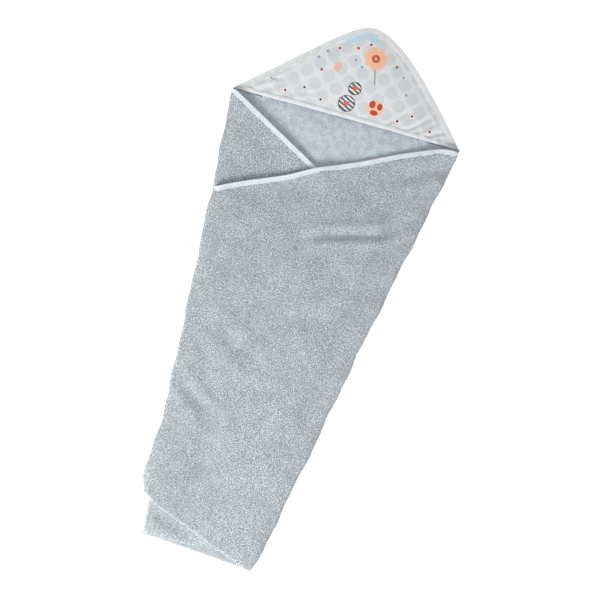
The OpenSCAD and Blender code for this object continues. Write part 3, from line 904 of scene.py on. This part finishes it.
def srgb(r, g, b):
    """A colour from its usual 0 to 255 values."""
    lin = [(c / 255 / 12.92) if c / 255 <= 0.04045 else ((c / 255 + 0.055) / 1.055) ** 2.4 for c in (r, g, b)]
    return (*lin, 1.0)


# How far down the towel its bottom fold is, in millimetres
PRESSED_Y = 466


def terry(name, dark, light, loop=(2.1, 1.5), relief=1.1, mottle=0.14, crisp=(0.38, 0.60), patch=38 * MM,
          pressed=0.0):
    """Looped pile: short worm-like loops that lie in mixed directions.

    The pile lies flat where the bottom fold is pressed, by the share pressed."""
    paint = Paint(name)
    flat = paint.flat()

    def loops(angle, shift):
        spot = paint.turned(flat, angle, (loop[0] * MM, loop[1] * MM, 1), (shift, shift, 0))
        return paint.noise(spot, 1.0, 2.0, 0.4, 0.6)

    choose = paint.noise(flat, 1 / (5 * MM), 1.0, 0.4).step(0.42, 0.58)
    other = paint.noise(flat, 1 / (8 * MM), 1.0, 0.0).step(0.5, 0.62)
    pile = loops(0.75, 0.01) * (1 - choose) + loops(-0.8, 0.13) * choose
    pile = pile * (1 - other) + loops(1.75, 0.27) * other
    pile = pile.step(*crisp)
    wear = paint.noise(flat, 1 / patch, 4.0, 0.3, 0.6)
    fine = paint.noise(flat, 1 / (1.3 * MM), 1.0)
    tone = pile * (1 - mottle) + wear.step(0.3, 0.7) * mottle
    tone = tone * 0.78 + fine.step(0.25, 0.75) * 0.22
    if pressed:
        by_fold = (paint.across(flat)[1] / MM + PRESSED_Y).size().step(34, 14) * pressed
        tone = tone * (1 - by_fold) + by_fold * 0.72
    paint.set(
        Base_Color=paint.mix(tone, srgb(*dark), srgb(*light)), Roughness=0.96,
        Normal=paint.bump(pile * 0.85 + fine * 0.15, relief * MM),
        Sheen_Weight=0.35, Sheen_Roughness=0.5, Specular_IOR_Level=0.15,
    )
    return paint.material


def tape(name, dark, light, width, seam_in, pressed):
    """Twill tape with fine slanting ribs, pressed lines along it and a row of needle holes, with painted shade
    darkening its colour along the pressed lines, in the needle holes and along the seam's groove.
    """
    paint = Paint(name)
    along, across = paint.across(paint.flat())
    ribs = ((along + across * 0.9) * (2 * math.pi / (1.15 * MM))).wave() * 0.5 + 0.5
    lines = 0.0
    for share in pressed:
        lines = (across - share * width * MM).size().step(0.5 * MM, 0.15 * MM).most(lines)
    hole = ((along / (STITCH_PITCH * MM)).part() - 0.5).size() * STITCH_PITCH
    seam = (across / MM - seam_in).size()
    pits = hole.step(0.75, 1.25) * seam.step(0.75, 0.25)
    groove = seam.step(1.0, 0.2)
    wear = paint.noise(paint.flat(), 1 / (14 * MM), 2.0)
    # painted shade: the colour is darkened along the pressed lines, in the needle holes and along the seam's groove
    tone = ribs * 0.25 + wear * 0.35 + 0.4 - lines * 0.25 - pits * 0.9 - groove * 0.12
    paint.set(
        Base_Color=paint.mix(tone.most(0.0).least(1.0), srgb(*dark), srgb(*light)), Roughness=0.8,
        Normal=paint.bump(ribs * 0.25 + wear * 0.4 - lines * 0.3 - pits * 0.8 - groove * 0.4, 0.35 * MM),
        Specular_IOR_Level=0.25,
    )
    return paint.material


def cotton_thread():
    paint = Paint("cotton_thread")
    place = paint.node("ShaderNodeTexCoord").link("Object")
    twist = paint.node("ShaderNodeTexNoise", None, {"Vector": place, "Scale": 900.0, "Detail": 1.0}).number(0)
    paint.set(Base_Color=paint.mix(twist, srgb(205, 209, 211), srgb(238, 240, 240)), Roughness=0.7,
              Normal=paint.bump(twist, 0.1 * MM))
    return paint.material


# The print, in millimetres on the panel: places, outer and inner radius of the soft rim, colour and strength
SPOT_PITCH, PETALS, INK = 37.0, 7, (44, 46, 52)
DARK_DOTS = ((-82, 33), (-50, 20), (107, 34), (85, 19), (143, 17), (-112, 20))
DOTS = (
    (DARK_DOTS, 5.0, 3.4, (232, 214, 213), 0.9),
    (DARK_DOTS, 2.5, 1.7, (74, 24, 34), 1.0),
    (((-42, 114), (-11, 122), (8, 133), (-62, 70), (60, 108)), 2.9, 2.0, (166, 46, 50), 0.95),
    (((-60, 104), (-72, 90), (3, 92), (-10, 101), (76, 94), (88, 66)), 2.8, 1.9, (104, 146, 186), 0.85),
)


def printed_cotton():
    """Fine woven cotton with soft grey spots, small dots, clouds, a flower and two striped balls."""
    paint = Paint("printed_cotton")
    flat = paint.flat()
    bend = paint.noise(flat, 1 / (30 * MM), 1.0)
    x, y = paint.across(flat)
    x, y = x / MM + bend * 1.2, y / MM + bend * 0.8

    def away(cx, cy, wide=1.0, tall=1.0):
        """Distance from a place, in units of an ellipse's half width and height."""
        dx, dy = (x - cx) / wide, (y - cy) / tall
        return (dx * dx + dy * dy).root()

    def lattice(shift, pitch):
        fx = ((x + shift) / pitch).part() - 0.5
        fy = ((y + shift) / pitch).part() - 0.5
        return (fx * fx + fy * fy).root() * pitch

    spots = lattice(400.0, SPOT_PITCH).least(lattice(400.0 + SPOT_PITCH / 2, SPOT_PITCH)).step(11.3, 10.4)
    ground = paint.mix(paint.noise(flat, 1 / (22 * MM), 2.0), srgb(205, 207, 208), srgb(213, 215, 216))
    colour = paint.mix(spots * 0.9, ground, srgb(197, 200, 202))

    def lay_on(mask, shade, strength=1.0):
        nonlocal colour
        colour = paint.mix(mask * strength, colour, srgb(*shade))

    # pale clouds near the tip
    cloud = away(-30, 135, 13, 7).least(away(-19, 140, 11, 8)).least(away(0, 147, 13, 6)).least(away(10, 142, 9, 5))
    lay_on(cloud.step(1.08, 0.92), (176, 203, 220), 0.85)
    # a pink balloon, and a large flower with a short stem
    lay_on(away(-37, 82, 7, 9).step(1.08, 0.92), (228, 170, 156), 0.85)
    stem = (x + y * 0.25 - 48.5).size().step(1.7, 1.0) * (y - 82.0).size().step(14.5, 13.0)
    lay_on(stem, (128, 150, 132), 0.9)
    turns = [k * 2 * math.pi / PETALS + 0.3 for k in range(PETALS)]
    petals = [away(22 + 12.5 * math.cos(turn), 112 + 12.5 * math.sin(turn), 7.6, 7.6) for turn in turns]
    lay_on(functools.reduce(Number.least, petals).step(1.06, 0.94), (230, 178, 142), 0.95)
    lay_on(away(22, 112).step(7.6, 6.6), (182, 62, 50), 0.95)
    lay_on(away(22, 112).step(3.4, 2.6), (226, 170, 130), 0.9)
    # a ball with red patches, and two balls with dark stripes and a small heart each
    lay_on(away(43, 30).step(14.4, 13.4), (229, 184, 152), 0.95)
    patches = away(37, 35, 5.2, 6.4).least(away(50, 34, 4.6, 6.0)).least(away(43, 22, 6.6, 4.4))
    lay_on(patches.step(1.1, 0.9), (178, 52, 44), 0.95)
    stripes = ((x * 0.45 + y * 0.89) / 6.0).part()
    for cx, cy, r in ((1, 53, 11.0), (-6, 25, 14.0)):
        ball = away(cx, cy).step(r + 0.4, r - 0.4)
        lay_on(ball, (224, 225, 224))
        lay_on(ball * (stripes - 0.5).size().step(0.31, 0.25), INK, 0.9)
        lay_on((away(cx, cy) - (r - 0.5)).size().step(1.1, 0.6), INK, 0.8)
        heart = away(cx - 2.0, cy + 1.2, 3.0, 3.0).least(away(cx + 2.0, cy + 1.2, 3.0, 3.0)).least(
            away(cx, cy - 1.6, 2.6, 3.6))
        lay_on(heart.step(1.1, 0.9), (205, 96, 78), 0.95)
    for places, outer_r, inner_r, shade, strength in DOTS:
        for cx, cy in places:
            lay_on(away(cx, cy).step(outer_r, inner_r), shade, strength)
    # a small curved line far out on the left
    arc = (away(-137, 39) - 6.0).size().step(1.2, 0.6) * (y - 36.0).step(0.5, -0.5)
    lay_on(arc, (110, 108, 112), 0.8)
    thread_turn = 2 * math.pi / 0.62
    weave = (x * thread_turn).wave() * (y * thread_turn).wave()
    crumple = paint.noise(flat, 1 / (9 * MM), 3.0, 0.2)
    paint.set(Base_Color=colour, Roughness=0.85, Normal=paint.bump(weave * 0.10 + crumple * 0.3, 0.5 * MM),
              Specular_IOR_Level=0.25)
    return paint.material


def dress(obj, slot, *materials):
    """Gives a piece its finish; a second material is the one on the inside of the cloth."""
    while len(obj.data.materials) < len(materials):
        obj.data.materials.append(None)
    for k, material in enumerate(materials):
        obj.data.materials[k] = material


LOOPED = (100, 112, 120), (208, 217, 223)
looped_side = terry("looped_terry", *LOOPED, crisp=(0.34, 0.60))
pressed_side = terry("pressed_terry", *LOOPED, crisp=(0.34, 0.60), pressed=0.7)
sheared_side = terry("sheared_terry", (146, 160, 171), (203, 211, 217), (2.6, 1.9), 0.6, 0.42, (0.25, 0.75),
                     13 * MM)
white_tape = tape("white_twill_tape", (150, 155, 160), (229, 233, 236), TAPE_W, SEAM_IN, (0.42, 0.62))
rim_tape = tape("hood_twill_tape", (150, 153, 154), (226, 228, 229), TAPE_W, SEAM_IN, (0.42, 0.62))
front_tape = tape("hood_front_twill_tape", (150, 154, 158), (229, 231, 232), FRONT_TAPE_W, FRONT_SEAM_IN, (0.62,))
thread = cotton_thread()
dress(terry_centre, "terry", pressed_side, sheared_side)
for piece in (terry_inner_flap, terry_outer_flap):
    dress(piece, "terry", looped_side, sheared_side)
for piece in (inner_flap_tape, outer_flap_tape, inner_corner_tape, outer_corner_tape, inner_turnup_tape,
              outer_turnup_tape, turnup_tape):
    dress(piece, "bias_tape", white_tape)
dress(hood_edge_tape, "bias_tape", rim_tape)
dress(hood_front_tape, "bias_tape", front_tape)
dress(printed_panel, "printed_cotton", printed_cotton())
for piece in (inner_flap_thread, outer_flap_thread, hood_front_thread, hood_edge_thread):
    dress(piece, "thread", thread)


def bends(obj):
    """Fabric that rolls over at a side fold, with its transform baked into its mesh."""
    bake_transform(obj)


for piece in (terry_inner_flap, inner_flap_tape, inner_turnup_tape, inner_flap_thread):
    bends(piece)
for piece in (terry_outer_flap, outer_flap_tape, outer_turnup_tape, outer_flap_thread):
    bends(piece)
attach(inner_corner_tape, "inner")
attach(outer_corner_tape, "outer")
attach(turnup_tape, "back")
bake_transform(terry_centre)
for piece in (printed_panel, hood_front_tape, hood_front_thread, hood_edge_tape, hood_edge_thread):
    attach(piece, "hood")

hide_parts("back_panel", "bottom_turnup", "hood_corner")
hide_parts("inner_flap", "inner_flap_turnup", "inner_flap_return", "left_fold")
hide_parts("outer_flap", "outer_flap_turnup", "outer_flap_return", "right_fold")
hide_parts("hood_face")
for piece, node in (
    (inner_flap_tape, "inner_flap_binding"), (outer_flap_tape, "outer_flap_binding"),
    (inner_corner_tape, "inner_return_binding"), (outer_corner_tape, "outer_return_binding"),
    (inner_turnup_tape, "inner_turnup_binding"), (outer_turnup_tape, "outer_turnup_binding"),
    (turnup_tape, "turnup_binding"), (hood_edge_tape, "hood_edge_binding"),
    (hood_front_tape, "hood_front_binding"), (inner_flap_thread, "inner_flap_stitching"),
    (outer_flap_thread, "outer_flap_stitching"), (hood_front_thread, "hood_front_stitching"),
    (hood_edge_thread, "hood_edge_stitching"),
):
    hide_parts(node)


# ---------------------------------------------------------------- the table, the light and the camera
CAMERA_AT = (0.0071, -0.0059, 1.989)
CAMERA_TURN = math.atan2(0.2685, 0.963)


def make_floor():
    bpy.ops.mesh.primitive_plane_add(size=8, location=(0, 0, 0))
    floor = bpy.context.object
    floor.name = "floor"
    paint = Paint("pale_floor")
    paint.set(Base_Color=(0.93, 0.93, 0.93, 1.0), Roughness=0.9, Emission_Color=(1, 1, 1, 1),
              Emission_Strength=0.45)
    floor.data.materials.append(paint.material)


def soft_light(name, place, size, power):
    data = bpy.data.lights.new(name, "AREA")
    data.size, data.energy = size, power
    lamp = linked(name, data)
    lamp.location = place
    aim = -np.array(place, float)
    level = math.hypot(aim[0], aim[1])
    lamp.rotation_euler = (math.atan2(level, -aim[2]), 0, math.atan2(aim[1], aim[0]) - math.pi / 2)


make_floor()
soft_light("key", (-0.95, -1.70, 1.45), 0.9, 65)
soft_light("overhead", (0.2, 0.3, 3.0), 3.0, 12)
world = bpy.data.worlds.new("studio")
bpy.context.scene.world = world
world.use_nodes = True
sky = next(n for n in world.node_tree.nodes if n.type == "BACKGROUND")
sky.inputs["Color"].default_value = (1, 1, 1, 1)
sky.inputs["Strength"].default_value = 0.64
bpy.context.scene.view_settings.view_transform = "Standard"

eye = bpy.data.cameras.new("camera")
eye.lens = 70
eye.sensor_width = 36
camera = linked("camera", eye)
camera.location = CAMERA_AT
camera.rotation_euler = (0, 0, CAMERA_TURN)
bpy.context.scene.camera = camera
